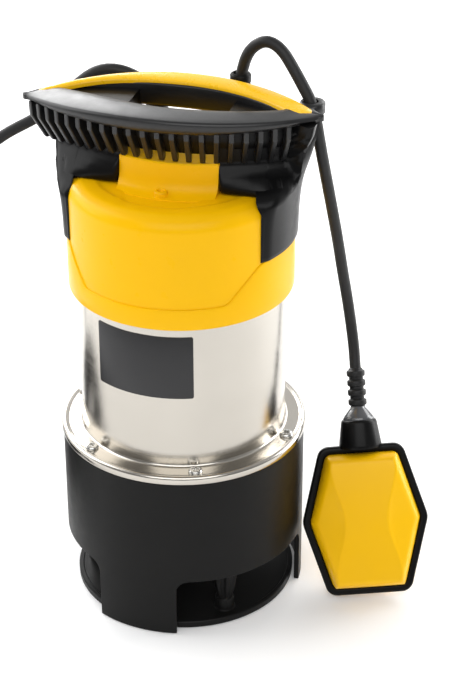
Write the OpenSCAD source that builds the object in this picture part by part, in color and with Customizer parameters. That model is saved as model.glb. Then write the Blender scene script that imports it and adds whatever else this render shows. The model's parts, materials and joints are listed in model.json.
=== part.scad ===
// Submersible dirty-water pump with a float switch.
// Millimetres. Origin: centre of the base on the floor. +Z up, front -Y.
// The pump is a black base on three legs, a stainless motor shell, a yellow
// cap, a black ribbed handle with a yellow grip inlay, a float on its cord
// and a mains cord coiled on the floor with its plug.

/* [View] */

/* [Base] */
base_r = 79;        // outside radius of the base
base_wall = 3.4;
base_top = 118.2;
window_top = 41;    // height of the three suction windows
deck_z = 41.6;      // underside of the deck above them
leg_turn = -8.5;    // direction of the front leg's middle, from the front
leg_half = 20.4;    // half the angle one leg covers
plate_r = 71.5;
plate_z0 = 0;
plate_t = 4.2;

/* [Motor shell] */
tube_r = 66.2;
tube_wall = 1.2;
flange_r = 80;
flange_z = 121.5;   // top face of the flange
lip_z = 116.4;
screw_turn = 22;    // first flange screw, from the front
screw_ring = 72.4;
tube_top = 232;

/* [Cap] */
skirt_r = 71.3;
skirt_z0 = 221;
skirt_z1 = 235;
skirt_side_z = 256.6;
body_r = 70.3;
shoulder_z = 293.5;
neck_x = 31;
neck_y = 25;
neck_top = 312.4;

/* [Handle] */
ring_a = 95;        // half length of the eye-shaped ring
ring_b = 39;        // half depth of the ring
hole_a = 70;
hole_b = 20;
ring_top = 344;
rim_h = 6.5;
ring_dx = -3;
rib_count = 23;
rib_pitch = 3.82;   // degrees about the ring's front arc
rib_t = 3.4;

/* [Cords and float] */
side_turn = 15;     // direction the float faces
cord_r = 3.7;
float_lean = 25;
float_roll = 4;
float_x = 124;
float_y = -40;
float_z = 4.0;
float_h = 100;
float_mid = 42;
float_end = 27.5;
rim_t = 7;
shell_d = 17;
pivot_x = 83.3;
pivot_y = 8;
pivot_z = 322;
coil_x = -236;
coil_y = 100;
coil_in = 38.5;
coil_out = 87.3;
coil_h = 30.5;

/* [Colours] */
black = [0.07, 0.07, 0.075];
yellow = [0.96, 0.75, 0.06];
steel = [0.78, 0.77, 0.75];
alu = [0.68, 0.69, 0.71];
copper = [0.72, 0.42, 0.20];
rubber = [0.09, 0.09, 0.09];

/* [Hidden] */
$fn = 48;
E = 0.01;
ring_R = (ring_a * ring_a + ring_b * ring_b) / (2 * ring_b);
ring_c = ring_R - ring_b;
hole_R = (hole_a * hole_a + hole_b * hole_b) / (2 * hole_b);
hole_c = hole_R - hole_b;
grip_c = 104;       // centre of the grip's arc, in front of the axis

// ---------- helpers ----------
module ring(r0, r1, z0, z1) {
  rotate_extrude() translate([r0, z0]) square([r1 - r0, z1 - z0]);
}
module at_angle(a) { rotate([0, 0, a]) children(); } // 0 is the front
module front_frame() { rotate([0, 0, side_turn]) children(); }

function cr(p0, p1, p2, p3, t) =
  0.5 * ((2 * p1) + (p2 - p0) * t + (2 * p0 - 5 * p1 + 4 * p2 - p3) * t * t
  + (3 * p1 - p0 - 3 * p2 + p3) * t * t * t);
function path(c, k) = concat([for (i = [0 : len(c) - 2]) for (j = [0 : k - 1])
  cr(c[max(i - 1, 0)], c[i], c[i + 1], c[min(i + 2, len(c) - 1)], j / k)],
  [c[len(c) - 1]]);
function tangent(p, i) = let (a = p[max(i - 1, 0)], b = p[min(i + 1, len(p) - 1)])
  (b - a) / norm(b - a);
// A round tube along a path. side is roughly square to the path everywhere.
// radii overrides the radius of the first rings.
module tube(p, r, side, n = 14, radii = []) {
  m = len(p);
  rings = [for (i = [0 : m - 1]) let (t = tangent(p, i),
    a0 = cross(t, side), a = a0 / norm(a0), b = cross(t, a))
    for (k = [0 : n - 1]) p[i] + (i < len(radii) ? radii[i] : r)
      * (cos(360 * k / n) * a + sin(360 * k / n) * b)];
  polyhedron(points = rings, faces = concat(
    [[for (k = [0 : n - 1]) n - 1 - k]],
    [[for (k = [0 : n - 1]) (m - 1) * n + k]],
    [for (i = [0 : m - 2]) for (k = [0 : n - 1])
      [i * n + k, i * n + (k + 1) % n, (i + 1) * n + (k + 1) % n]],
    [for (i = [0 : m - 2]) for (k = [0 : n - 1])
      [i * n + k, (i + 1) * n + (k + 1) % n, (i + 1) * n + k]]));
}

// ---------- base ----------
module window(a) {
  span = 120 - 2 * leg_half;
  at_angle(a - 90) {
    rotate([0, 0, -span / 2]) rotate_extrude(angle = span)
      translate([72.4, -5]) square([12, window_top - 8 + 5]);
    rotate([0, 0, -span / 2 + 6.2]) rotate_extrude(angle = span - 12.4)
      translate([72.4, 0]) square([12, window_top]);
    for (s = [-1, 1]) rotate([0, 0, s * (span / 2 - 5.6)])
      translate([72.4, 0, window_top - 7.7]) rotate([0, 90, 0])
        cylinder(r = 8, h = 12);
  }
}
module base_shell() color(black) {
  difference() {
    union() {
      rotate_extrude() polygon([[base_r - base_wall, 0.8],
        [base_r - base_wall + 0.8, 0], [base_r - 1, 0], [base_r, 1],
        [base_r, lip_z - 0.6], [78.2, lip_z - 0.6], [78.2, base_top],
        [66.4, base_top], [66.4, base_top - 6],
        [base_r - base_wall, base_top - 12]]);
      translate([0, 76.2, 66]) rotate([-90, 0, 0]) cylinder(r = 19, h = 17.8);
    }
    for (k = [0 : 2]) window(leg_turn + 60 + 120 * k);
    translate([0, 50, 66]) rotate([-90, 0, 0]) cylinder(r = 14, h = 60);
  }
}
module wear_plate() color(black) rotate_extrude() polygon([[18, deck_z],
  [base_r - base_wall - 0.1, deck_z], [base_r - base_wall - 0.1, 47], [24, 47],
  [22, 49], [18, 49]]);
module suction_posts() color(black)
  for (k = [0 : 2]) at_angle(leg_turn + 50 + 120 * k) translate([0, -60, 0]) {
    difference() {
      union() {
        translate([0, 0, plate_z0 + plate_t]) cylinder(r = 5.4, h = 9);
        translate([0, 0, plate_z0 + plate_t + 8]) cylinder(r1 = 4.6, r2 = 7.6, h = deck_z - plate_z0 - plate_t - 8);
        for (a = [0, 60, 120]) rotate([0, 0, a])
          translate([-8.4, -0.9, plate_z0 + plate_t + 14]) cube([16.8, 1.8, deck_z - plate_z0 - plate_t - 14]);
      }
      translate([0, 0, -1]) cylinder(r = 1.9, h = 24);
    }
  }
module bottom_plate() color(black) difference() {
  union() {
    rotate_extrude() polygon([[0, plate_z0], [plate_r - 1, plate_z0],
      [plate_r, plate_z0 + 1], [plate_r, plate_z0 + plate_t + 0.6],
      [plate_r - 2.4, plate_z0 + plate_t + 0.6], [plate_r - 3, plate_z0 + plate_t],
      [0, plate_z0 + plate_t]]);
    // low cone that turns the water up into the suction eye
    translate([0, 0, plate_z0 + plate_t - 0.5]) cylinder(r1 = 16, r2 = 5, h = 7);
  }
  for (k = [0 : 2]) at_angle(leg_turn + 50 + 120 * k) translate([0, -60, 0]) {
    translate([0, 0, -1]) cylinder(r = 2.3, h = 12);
    translate([0, 0, plate_z0 - 1]) cylinder(r = 4.6, h = 3.2);
  }
  for (k = [0 : 2]) at_angle(leg_turn + 120 * k + 62) translate([0, -plate_r - 1.5, -1]) cylinder(r = 3.5, h = 9);
}
module plate_screws() color(steel)
  for (k = [0 : 2]) at_angle(leg_turn + 50 + 120 * k) translate([0, -60, 0])
    difference() {
      union() {
        translate([0, 0, plate_z0 + 0.3]) cylinder(r = 4.1, h = 1.9);
        translate([0, 0, plate_z0 + 1]) cylinder(r = 1.88, h = 19);
      }
      for (a = [0, 90]) rotate([0, 0, a]) translate([-2.2, -0.4, 0]) cube([4.4, 0.8, plate_z0 + 1.4]);
    }
module volute_wall() color(black) difference() {
  union() {
    // spiral wall as three arcs of growing radius, open towards the outlet
    ring(56.5, 59.5, 47, 86);
    ring(19, 20.6, 49, 52);
  }
  translate([-11, 40, 50]) cube([22, 30, 32]);
}
module outlet_elbow() color(black) translate([0, 94, 66]) difference() {
  union() {
    rotate([-90, 0, 0]) cylinder(r = 20.5, h = 9);
    translate([0, 9, 24]) rotate([0, 90, 0]) rotate([0, 0, 0])
      rotate_extrude(angle = 90) translate([24, 0]) circle(r = 18);
    translate([0, 33, 24]) cylinder(r = 20.5, h = 14);
  }
  translate([0, -1, 0]) rotate([-90, 0, 0]) cylinder(r = 14.2, h = 10.4);
  translate([0, 9, 24]) rotate([0, 90, 0]) rotate_extrude(angle = 90)
    translate([24, 0]) circle(r = 13.5);
  translate([0, 33, 23.6]) cylinder(r = 14.2, h = 16);
}
module hose_tail() color(black) translate([0, 127, 104]) rotate_extrude()
  polygon([[10.2, 0], [20, 0], [20, 5], [22.5, 5], [22.5, 13], [19, 14.5],
    [19, 26], [16, 28], [16, 40], [13, 42], [12.6, 44], [12.6, 62],
    [11.8, 63], [10.2, 63]]);

// ---------- seal, bearings, motor ----------
module seal_bracket() color(alu) rotate_extrude() polygon([[12.6, 86],
  [56, 86], [62, 92], [65, 92], [65, 118.2], [60, 118.2], [60, 100],
  [30, 98], [22, 104], [22, 112], [17.1, 112], [17.1, 101], [14, 101],
  [14, 96], [12.6, 96]]);
module fixed_seal() color([0.35, 0.35, 0.37]) ring(7.0, 12.55, 88, 94);
module base_gasket() color(rubber) ring(68, 78, base_top, 119.9);
module motor_shell() color(steel) rotate_extrude() polygon([
  [tube_r - tube_wall, 119.9], [78.6, 119.9], [78.6, lip_z], [flange_r, lip_z],
  [flange_r, flange_z - 2.6], [flange_r - 0.8, flange_z - 0.9],
  [flange_r - 2.6, flange_z], [tube_r + 1.6, flange_z], [tube_r, flange_z + 1.6],
  [tube_r, tube_top], [tube_r - tube_wall, tube_top]]);
module flange_screws() color(steel)
  for (k = [0 : 5]) at_angle(screw_turn + 60 * k) translate([0, -screw_ring, 0])
    difference() {
      union() {
        translate([0, 0, flange_z]) cylinder(r = 4.4, h = 1.5);
        translate([0, 0, flange_z + 1.5]) cylinder(r1 = 4.4, r2 = 3.2, h = 1.1);
      }
      for (a = [0, 90]) rotate([0, 0, a + 20 * k])
        translate([-2.4, -0.45, flange_z + 1.2]) cube([4.8, 0.9, 3]);
    }
module nameplate() color([0.05, 0.05, 0.05])
  rotate([0, 0, -90 - 6 - 28.2]) rotate_extrude(angle = 56.4)
    translate([tube_r, 171]) square([0.35, 43]);
module stator_core() color([0.45, 0.46, 0.5]) ring(38, 64.9, 138, 190);
module winding_lower() color(copper) ring(42, 57, 122, 137.9);
module winding_upper() color(copper) ring(42, 57, 190.1, 206);
module bearing_outer(z, h, r) { ring(r - 3, r, z, z + h); }
module bearing_inner(z, h, r0, r1) { ring(r0, r1, z, z + h); }
module lower_bearing_outer() color([0.6, 0.6, 0.62]) bearing_outer(101.1, 10, 17);
module upper_bearing_outer() color([0.6, 0.6, 0.62]) bearing_outer(218, 9, 15);
module lower_bearing_inner() color([0.6, 0.6, 0.62]) bearing_inner(101.1, 10, 6.05, 9.5);
module upper_bearing_inner() color([0.6, 0.6, 0.62]) bearing_inner(218, 9, 5.05, 8.5);
module upper_bracket() color(alu) rotate_extrude() polygon([[15.05, 217.5],
  [20, 217.5], [20, 222], [64.9, 222], [64.9, 228], [20, 228], [20, 231],
  [8, 231], [8, 228], [15.05, 228]]);
module rotor_shaft() color([0.7, 0.7, 0.72]) rotate_extrude() polygon([[0, 52],
  [4, 52], [4, 60], [5, 60], [5, 80], [6, 80], [6, 196], [7.5, 196], [7.5, 205],
  [5, 205], [5, 227.5], [0, 227.5]]);
module rotor_core() color([0.55, 0.55, 0.58]) rotate_extrude()
  polygon([[6.02, 133], [30, 133], [30, 137], [37.2, 139], [37.2, 189],
    [30, 191], [30, 196], [20, 196], [20, 192], [6.02, 192]]);
module rotating_seal() color([0.2, 0.2, 0.22]) ring(6.05, 11.5, 83.5, 87.9);
module seal_spring() color(steel) ring(6.4, 10.5, 79.2, 83.3);
module impeller() color([0.1, 0.1, 0.1]) {
  rotate_extrude() polygon([[5.05, 60.2], [11, 60.2], [13, 72], [50, 75],
    [50, 78.5], [12, 78.5], [5.05, 78.5]]);
  for (a = [0, 60, 120, 180, 240, 300]) rotate([0, 0, a])
    difference() {
      translate([27, 0, 61]) difference() {
        cylinder(r = 19, h = 13.5);
        translate([0, 0, -1]) cylinder(r = 16.4, h = 20);
        translate([-25, -25, -1]) cube([50, 25, 20]);
      }
      difference() {
        translate([0, 0, 60]) cylinder(r = 90, h = 20);
        translate([0, 0, 59]) cylinder(r = 48, h = 22);
      }
      translate([0, 0, 60]) cylinder(r = 10.2, h = 12);
    }
}
module impeller_nut() color(steel) difference() {
  translate([0, 0, 53]) cylinder(r = 7.5, h = 7, $fn = 6);
  translate([0, 0, 52]) cylinder(r = 4.02, h = 9);
}
module capacitor() color([0.75, 0.76, 0.78]) translate([-30, 20, 231.4]) {
  cylinder(r = 16, h = 46);
  translate([-5, -1, 46]) cube([2, 6, 5]);
  translate([4, -1, 46]) cube([2, 6, 5]);
}

// ---------- cap ----------
module band_cut() {
  // the raised skirt is high under the handle's legs and low in front and behind
  for (s = [0, 180]) at_angle(s) rotate([90, 0, 0])
    linear_extrude(height = 90) polygon([[-62, 300], [-61.5, skirt_side_z],
      [-45.5, skirt_z1], [44.5, skirt_z1], [61.5, skirt_side_z], [62, 300]]);
}
module cap_body() color(yellow) difference() {
  union() {
    rotate_extrude() polygon([[tube_r + 0.3, skirt_z0], [skirt_r - 0.6, skirt_z0],
      [skirt_r, skirt_z0 + 0.6], [skirt_r, 228], [body_r - 1, 229],
      [tube_r + 0.3, 229]]);
    difference() {
      rotate_extrude() polygon([[68, 227], [skirt_r, 227], [skirt_r, skirt_side_z],
        [68, skirt_side_z]]);
      band_cut();
    }
    rotate_extrude() polygon([[tube_r + 0.3, 228], [body_r, 228], [body_r, 284.5],
      [body_r - 1.3, 288.6], [body_r - 4.4, 291.8], [body_r - 9.5, shoulder_z + 0.4],
      [52, shoulder_z + 0.8], [48, shoulder_z - 0.4], [0, shoulder_z - 0.4],
      [0, 289.4], [60, 289.4], [66.6, 284], [66.6, 240], [62.5, 236], [62.5, 233.8],
      [tube_r + 0.3, 233.8]]);
    // neck
    intersection() {
      translate([0, 0, 290]) rotate_extrude() polygon([[0, 0], [48, 0],
        [47, 3.2], [43, 5], [40.2, 9], [39.4, 14], [39.4, neck_top - 290 - 3], [36.4, neck_top - 290], [0, neck_top - 290]]);
      translate([-neck_x, -neck_y - 5, 288]) cube([2 * neck_x, 2 * neck_y + 10, 40]);
      translate([0, 44.5, 288]) cylinder(r = 75, h = 40);
      translate([0, -44.5, 288]) cylinder(r = 75, h = 40);
    }
    // pads for the cord glands
    for (x = [-29, 26]) translate([x, 46, 289.6]) cylinder(r = 10.5, h = 8);
  }
  for (x = [-29, 26]) translate([x, 46, 280]) cylinder(r = 6.05, h = 22);
}
module cap_gasket() color(rubber) ring(62.7, tube_r + 0.2, tube_top, 233.8);
module vent_plug() color(yellow) translate([-1.5, -35.6, shoulder_z - 0.4]) difference() {
  union() {
    cylinder(r = 4.4, h = 3.2);
    translate([0, 0, 3.2]) cylinder(r1 = 4.4, r2 = 3.4, h = 1);
  }
  translate([-3, -0.8, 3]) cube([6, 1.6, 3]);
}

// ---------- handle ----------
module eye(R, c, z0, z1) intersection() {
  translate([0, c, z0]) cylinder(r = R, h = z1 - z0, $fn = 96);
  translate([0, -c, z0]) cylinder(r = R, h = z1 - z0, $fn = 96);
}
module eye_solid() intersection() {
  // outside of the ring: rounded rim above, flaring in towards the legs
  for_eye(1); for_eye(-1);
}
module for_eye(s) translate([0, s * ring_c, 0]) rotate_extrude($fn = 96)
  polygon([[0, 300], [108, 300], [ring_R - 13, 313], [ring_R - 5, 328], [ring_R - 2.5, 337],
    [ring_R, ring_top - rim_h + 0.6], [ring_R, ring_top - 1.6], [ring_R - 1.6, ring_top], [0, ring_top]]);
module front_arc(pts) translate([0, ring_c, 0])
  rotate([0, 0, -90 - 44]) rotate_extrude(angle = 88, $fn = 96) polygon(pts);
module back_arc(pts) translate([0, -grip_c, 0])
  rotate([0, 0, 90 - 44]) rotate_extrude(angle = 88, $fn = 96) polygon(pts);
module leg_profile() rotate_extrude($fn = 72) polygon([[70.6, skirt_side_z],
  [73.2, skirt_side_z], [73.6, 270], [74.6, 284], [77, 297], [81, 309],
  [86.5, 320], [91.5, 330], [94, 338], [60, 338], [60, 300], [66.5, 295],
  [70.6, 288]]);
module handle_frame() color(black) difference() {
  union() {
    translate([ring_dx, 0, 0]) {
      difference() {
        intersection() { for_eye(1); for_eye(-1);
          translate([-100, -60, ring_top - rim_h]) cube([200, 120, 30]); }
        eye(hole_R, hole_c, 300, 360);
        back_arc([[grip_c + hole_b + 1, 341], [grip_c + 36.6, 341],
          [grip_c + 36.6, 360], [grip_c + hole_b + 1, 360]]);
      }
      // grip bar along the back
      intersection() {
        back_arc([[grip_c + hole_b - 0.4, 328.5], [grip_c + 22.5, 327],
          [grip_c + 33, 327], [grip_c + 36, 330], [grip_c + 36, 340.9], [grip_c + hole_b - 0.4, 340.9]]);
        for_eye(1);
        for_eye(-1);
      }
      // front wall under the rim
      intersection() {
        front_arc([[ring_R - 11.6, 317.6], [ring_R - 15, 317.6], [ring_R - 9, 329], [ring_R - 8, 338.5],
          [ring_R - 4.6, 338.5], [ring_R - 5.4, 329]]);
        translate([-84, -60, 300]) cube([168, 60, 60]);
      }
      for (k = [0 : rib_count - 1]) translate([0, ring_c, 0])
        rotate([0, 0, (k - (rib_count - 1) / 2) * rib_pitch])
          rotate([0, 0, -90]) rotate([90, 0, 0]) translate([0, 0, -rib_t / 2])
            linear_extrude(height = rib_t) polygon([[ring_R - 7, 338], [ring_R - 0.8, 338],
              [ring_R - 1.2, 330.5], [ring_R - 9.2, 314.8], [ring_R - 10.4, 313],
              [ring_R - 13.2, 313], [ring_R - 14.4, 315], [ring_R - 13.5, 320], [ring_R - 8, 330]]);
    }
    // legs and the webs beside the neck
    for (s = [0, 180]) rotate([0, 0, s]) intersection() {
      rotate([0, 0, 90]) leg_profile();
      translate([neck_x + 0.3, 0, 0]) rotate([90, 0, 90]) linear_extrude(height = 80)
        polygon([[-36.5, 250], [36.5, 250], [36.5, 287.5], [22, 323.4], [15, 339],
          [-15, 339], [-24, 323.4], [-36.5, 291.5]]);
    }
    // hook behind the right end that holds the float's cord
    translate([75.6, 29.3, 329]) cylinder(r = 7.9, h = 7.2);
    translate([72.6, 8, 329]) cube([6.4, 16, 7.2]);
    for (s = [-1, 1]) intersection() {
      translate([s > 0 ? neck_x + 0.3 : -72, -27, shoulder_z + 1]) cube([72 - neck_x - 0.3, 54, 44]);
      union() {
        translate([0, 0, 290]) cylinder(r1 = 70, r2 = 84, h = 30);
        translate([0, 0, 319]) cylinder(r = 84, h = 20);
      }
      eye(ring_R + 30, ring_c, 290, 340);
    }
  }
  translate([75.5, 29.4, 332.9]) rotate([0, 27, 163]) rotate([0, 0, 75]) translate([0, 0, -12]) cylinder(r = 4.25, h = 24);
  // hand space in each end, open towards the middle
  eye(hole_R, hole_c, 322, 360);
}
module handle_inlay() color(yellow) translate([ring_dx, 0, 0]) intersection() {
  back_arc([[grip_c + hole_b + 1.2, 341], [grip_c + 36.4, 341], [grip_c + 36.4, 341.6],
    [grip_c + 33, 343.2], [grip_c + 28, 344.3], [grip_c + 23, 344.6], [grip_c + hole_b + 1.2, 344]]);
  eye(ring_R - 2.2, ring_c, 330, 350);
}
module handle_screws() color(steel)
  for (x = [-46, 46]) for (y = [-10, 10]) translate([x, y, 0]) difference() {
    translate([0, 0, 289.4 - 3]) cylinder(r = 3.6, h = 2.9);
    translate([-2.4, -0.5, 280]) cube([4.8, 1, 7.6]);
  }
module gland(x, h) translate([x, 46, 0]) {
  translate([0, 0, 288]) cylinder(r = 5.95, h = 12);
  translate([0, 0, 297.6]) cylinder(r = 9.4, h = 7, $fn = 6);
  translate([0, 0, 304.6]) cylinder(r1 = 8.4, r2 = 6.4, h = h - 304.6 - 6);
  translate([0, 0, h - 6]) cylinder(r = 6.4, h = 4);
  translate([0, 0, h - 2.4]) cylinder(r = 5.2, h = 2.4);
}
module power_gland() color(black) difference() {
  gland(-29, 322);
  translate([-29, 46, 270]) cylinder(r = 4.3, h = 80);
}
module float_gland() color(black) difference() {
  gland(26, 338);
  translate([26, 46, 270]) cylinder(r = 4.3, h = 80);
}

// ---------- float ----------
module in_float() front_frame() translate([float_x, float_y, float_z])
  rotate([-float_lean, 0, 0]) rotate([0, -float_roll, 0]) children();
module hexagon(g, r) {
  // outline g inside the outer edge, corners rounded
  h = float_h;
  offset_x = g * 1.04;
  for (p = [[-float_end + g * 0.62, g], [float_end - g * 0.62, g],
    [float_mid - offset_x, h / 2], [float_end - g * 0.62, h - g],
    [-float_end + g * 0.62, h - g], [-float_mid + offset_x, h / 2]])
    translate([p[0] - sign(p[0]) * r * 1.05, p[1] + (p[1] < h / 2 - 1 ? r : (p[1] > h / 2 + 1 ? -r : 0))]) circle(r = r, $fn = 20);
}
module slab(g, r, y0, y1) translate([0, y1, 0]) rotate([90, 0, 0])
  linear_extrude(height = y1 - y0) hull() hexagon(g, r);
module float_rim() color(black) in_float() difference() {
  slab(0, 6, -rim_t / 2, rim_t / 2);
  slab(5.0, 5, -rim_t, rim_t);
}
module dome(g, d) hull() {
  slab(5.2 + g, 5, -0.2, 0);
  slab(6.4 + g, 5, -d * 0.55, -d * 0.5);
  translate([0, -d + 0.2, 0]) rotate([90, 0, 0]) linear_extrude(height = 0.2)
    polygon([[-19.5 + g, 11 + g], [19.5 - g, 11 + g], [21 - g, 50], [19.5 - g, 89 - g], [-19.5 + g, 89 - g], [-21 + g, 50]]);
}
module float_shell_front() color(yellow) in_float() difference() {
  dome(0, shell_d);
  translate([0, 0.1, 0]) dome(1.8, shell_d - 1.8);
}
module float_shell_back() color(yellow) in_float() translate([0, 0.2, 0]) mirror([0, 1, 0]) difference() {
  dome(0, shell_d);
  translate([0, 0.1, 0]) dome(1.8, shell_d - 1.8);
}
module float_collar() color(black) in_float() translate([0, 0, float_h + 0.02]) difference() {
  union() {
    cylinder(r1 = 14.2, r2 = 11.6, h = 17.5);
    translate([0, 0, 17.4]) cylinder(r1 = 11, r2 = 4.6, h = 8.4);
  }
  translate([0, 0, -1]) cylinder(r = 3.76, h = 30);
}
module float_relief() color(black) in_float() translate([0, 0, float_h + 25.84]) difference() {
  union() {
    cylinder(r = 4.7, h = 26);
    for (k = [0 : 3]) translate([0, 0, 1.2 + 6.4 * k]) cylinder(r = 6.1, h = 3.9);
  }
  translate([0, 0, -1]) cylinder(r = 3.76, h = 30);
}
module switch_housing() color([0.85, 0.85, 0.8]) in_float() difference() {
  translate([-11, -9, 30]) cube([22, 18, 52]);
  translate([-8, -6.5, 33]) cube([16, 13, 46]);
}
module float_ball() color([0.72, 0.72, 0.74]) in_float() translate([0, 0, 41]) sphere(r = 5.6);
module switch_lever() color(copper) in_float() {
  translate([-6, 4.2, 62]) cube([12, 0.8, 13]);
  translate([-6, 4.6, 75.4]) rotate([0, 90, 0]) cylinder(r = 1.1, h = 12);
}

// ---------- cords ----------
function in_f(p) = let (a = -float_lean, b = -float_roll,
  q = [p[0] * cos(b) + p[2] * sin(b), p[1], -p[0] * sin(b) + p[2] * cos(b)])
  [float_x + q[0], float_y + q[1] * cos(a) - q[2] * sin(a),
   float_z + q[1] * sin(a) + q[2] * cos(a)];
function turned(p) = [p[0] * cos(side_turn) - p[1] * sin(side_turn),
  p[0] * sin(side_turn) + p[1] * cos(side_turn), p[2]];
function back(p) = [p[0] * cos(side_turn) + p[1] * sin(side_turn),
  -p[0] * sin(side_turn) + p[1] * cos(side_turn), p[2]];
fg = back([26, 46, 0]);
pg = back([-29, 46, 0]);
module float_cord_upper() color(rubber) front_frame() union() {
  tube(path([[fg[0], fg[1], 316], [fg[0], fg[1], 328], [fg[0], fg[1], 338.5], [41, 35, 356], [47, 33.5, 363.5],
    [54, 30.5, 366.5], [62, 26, 362.5], [69, 20, 353], [75, 14.2, 343.5], [79, 10, 336.8],
    [80.9, 8, 332.6], [82.2, 8, pivot_z + 7.4], [82.9, 8, pivot_z + 4.9]], 4), cord_r, [0.3, 1, 0]);
}
// The swinging length starts as a small ball, centred on the swing axis.
module float_cord_lower() color(rubber) front_frame() tube(concat(
  [for (k = [1 : 6]) [pivot_x, pivot_y, pivot_z + 4.2 * cos(20 * k)]],
  path([[pivot_x + 0.2, pivot_y + 0.2, pivot_z - 3.4], [86.8, 11, 302], [92.6, 18.5, 271],
    [98.7, 26, 238], [103.7, 31.6, 208], [108.2, 34.4, 182], in_f([-0.2, 0, 168]), in_f([0, 0, 150]),
    in_f([0, 0, 130]), in_f([0, 0, 101])], 4)),
  cord_r, [0.3, 1, 0], 14, [for (k = [1 : 6]) 4.2 * sin(20 * k)]);
module power_cord() color(rubber) front_frame() tube(path([[pg[0], pg[1], 306],
  [pg[0], pg[1], 314], [pg[0], pg[1], 322], [pg[0] - 1.5, pg[1] + 0.4, 327], [-28, 55, 334.5],
  [-42, 57, 339], [-54, 59.5, 336.5], [-65, 61, 328], [-77, 61.5, 316],
  [-92, 61, 304.5], [-118, 59, 290.5], [-141, 58.5, 266], [-157, 60, 226], [-165, 64, 170],
  [-168, 71, 112], [-166, 82, 72], [-164, 97, 50], [-169, 114, coil_h + 6],
  [-181, 132, coil_h + 5.2]], 5), cord_r, [0.25, 1, 0.12], 12);
module power_coil() color(rubber) front_frame() translate([coil_x, coil_y, 0])
  rotate_extrude() translate([(coil_in + coil_out) / 2, coil_h / 2 + 1])
    scale([1, coil_h / (coil_out - coil_in)]) circle(r = (coil_out - coil_in) / 2, $fn = 20);
module coil_tie() color([0.12, 0.12, 0.12]) front_frame() translate([coil_x, coil_y, 0])
  rotate([0, 0, 62]) translate([0, -(coil_in + coil_out) / 2, coil_h / 2 + 1]) rotate([0, 90, 0]) translate([0, 0, -4])
    difference() {
      linear_extrude(height = 8) square([coil_h + 2, coil_out - coil_in + 3], center = true);
      translate([0, 0, -1]) linear_extrude(height = 10) square([coil_h + 0.3, coil_out - coil_in + 1.2], center = true);
    }
module cord_tail() color(rubber) front_frame() tube(path([[coil_x - 62, coil_y - 69, 4.2],
  [coil_x - 56, coil_y - 80, 4.2], [coil_x - 44, coil_y - 92, 4.2], [coil_x - 30, coil_y - 100.5, 4.8],
  [coil_x - 14, coil_y - 107, 8], [coil_x - 2, coil_y - 110.8, 13.6], [coil_x + 8, coil_y - 112.5, 18],
  [coil_x + 17, coil_y - 113.9, 19.2]], 4), cord_r, [0, 0.05, 1], 12);
module in_plug() front_frame() translate([coil_x + 20, coil_y - 114.4, 19.2])
  rotate([0, 0, -9]) rotate([0, 90, 0]) children();
module plug_body() color(black) in_plug() difference() {
  union() {
    translate([0, 0, -2]) cylinder(r1 = 5.4, r2 = 8, h = 16);
    translate([0, 0, 12]) cylinder(r1 = 10, r2 = 17, h = 10);
    translate([0, 0, 22]) cylinder(r = 18.6, h = 17);
  }
  translate([0, 0, -3]) cylinder(r = 3.72, h = 9);
  for (s = [-1, 1]) translate([s * 19.5, 0, 21]) translate([-2.2, -3.5, 0]) cube([4.4, 7, 20]);
}
module plug_pins() color(steel) in_plug() for (s = [-1, 1]) translate([0, s * 9.5, 39]) {
  cylinder(r = 2.4, h = 17.6);
  translate([0, 0, 17.6]) cylinder(r1 = 2.4, r2 = 1.5, h = 1.4);
}

base_shell();
wear_plate();
bottom_plate();
plate_screws();
suction_posts();
volute_wall();
outlet_elbow();
hose_tail();
seal_bracket();
fixed_seal();
base_gasket();
motor_shell();
flange_screws();
nameplate();
stator_core();
winding_lower();
winding_upper();
lower_bearing_outer();
upper_bearing_outer();
upper_bracket();
capacitor();
cap_body();
cap_gasket();
vent_plug();
handle_frame();
handle_inlay();
handle_screws();
power_gland();
float_gland();
rotor_shaft();
rotor_core();
lower_bearing_inner();
upper_bearing_inner();
rotating_seal();
seal_spring();
impeller();
impeller_nut();
float_rim();
float_shell_front();
float_shell_back();
float_collar();
float_relief();
switch_housing();
float_cord_lower();
float_ball();
switch_lever();
float_cord_upper();
power_cord();
power_coil();
coil_tie();
cord_tail();
plug_body();
plug_pins();
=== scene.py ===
# Submersible dirty-water pump with a float switch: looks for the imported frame.
# Lengths below are millimetres; put() turns them into metres.
import json
from math import atan2, cos, degrees, hypot, pi, radians, sin, sqrt, tan

import bmesh
import bpy
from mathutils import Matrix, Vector


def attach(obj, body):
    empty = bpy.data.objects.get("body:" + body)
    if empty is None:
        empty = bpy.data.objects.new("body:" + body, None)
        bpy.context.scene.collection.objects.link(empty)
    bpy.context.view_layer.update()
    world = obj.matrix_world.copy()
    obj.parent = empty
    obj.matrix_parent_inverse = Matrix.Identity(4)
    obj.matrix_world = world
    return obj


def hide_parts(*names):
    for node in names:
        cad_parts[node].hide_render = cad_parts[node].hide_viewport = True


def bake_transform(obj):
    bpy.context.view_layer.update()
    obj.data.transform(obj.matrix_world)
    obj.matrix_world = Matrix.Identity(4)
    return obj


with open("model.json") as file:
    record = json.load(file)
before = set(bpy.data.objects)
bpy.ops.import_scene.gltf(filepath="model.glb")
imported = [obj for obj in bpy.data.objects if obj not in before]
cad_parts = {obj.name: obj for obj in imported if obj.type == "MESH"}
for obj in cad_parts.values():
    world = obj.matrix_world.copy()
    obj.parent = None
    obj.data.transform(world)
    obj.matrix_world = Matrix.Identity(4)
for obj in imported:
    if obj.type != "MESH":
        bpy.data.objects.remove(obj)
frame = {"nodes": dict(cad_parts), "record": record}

for extra in ("Cube", "Light", "Camera"):     # what an empty Blender file may hold
    if extra in bpy.data.objects:
        bpy.data.objects.remove(bpy.data.objects[extra])
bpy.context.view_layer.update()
MM = 0.001
SCENE = bpy.context.scene
SIDE = radians(15)          # the direction the float faces
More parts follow.
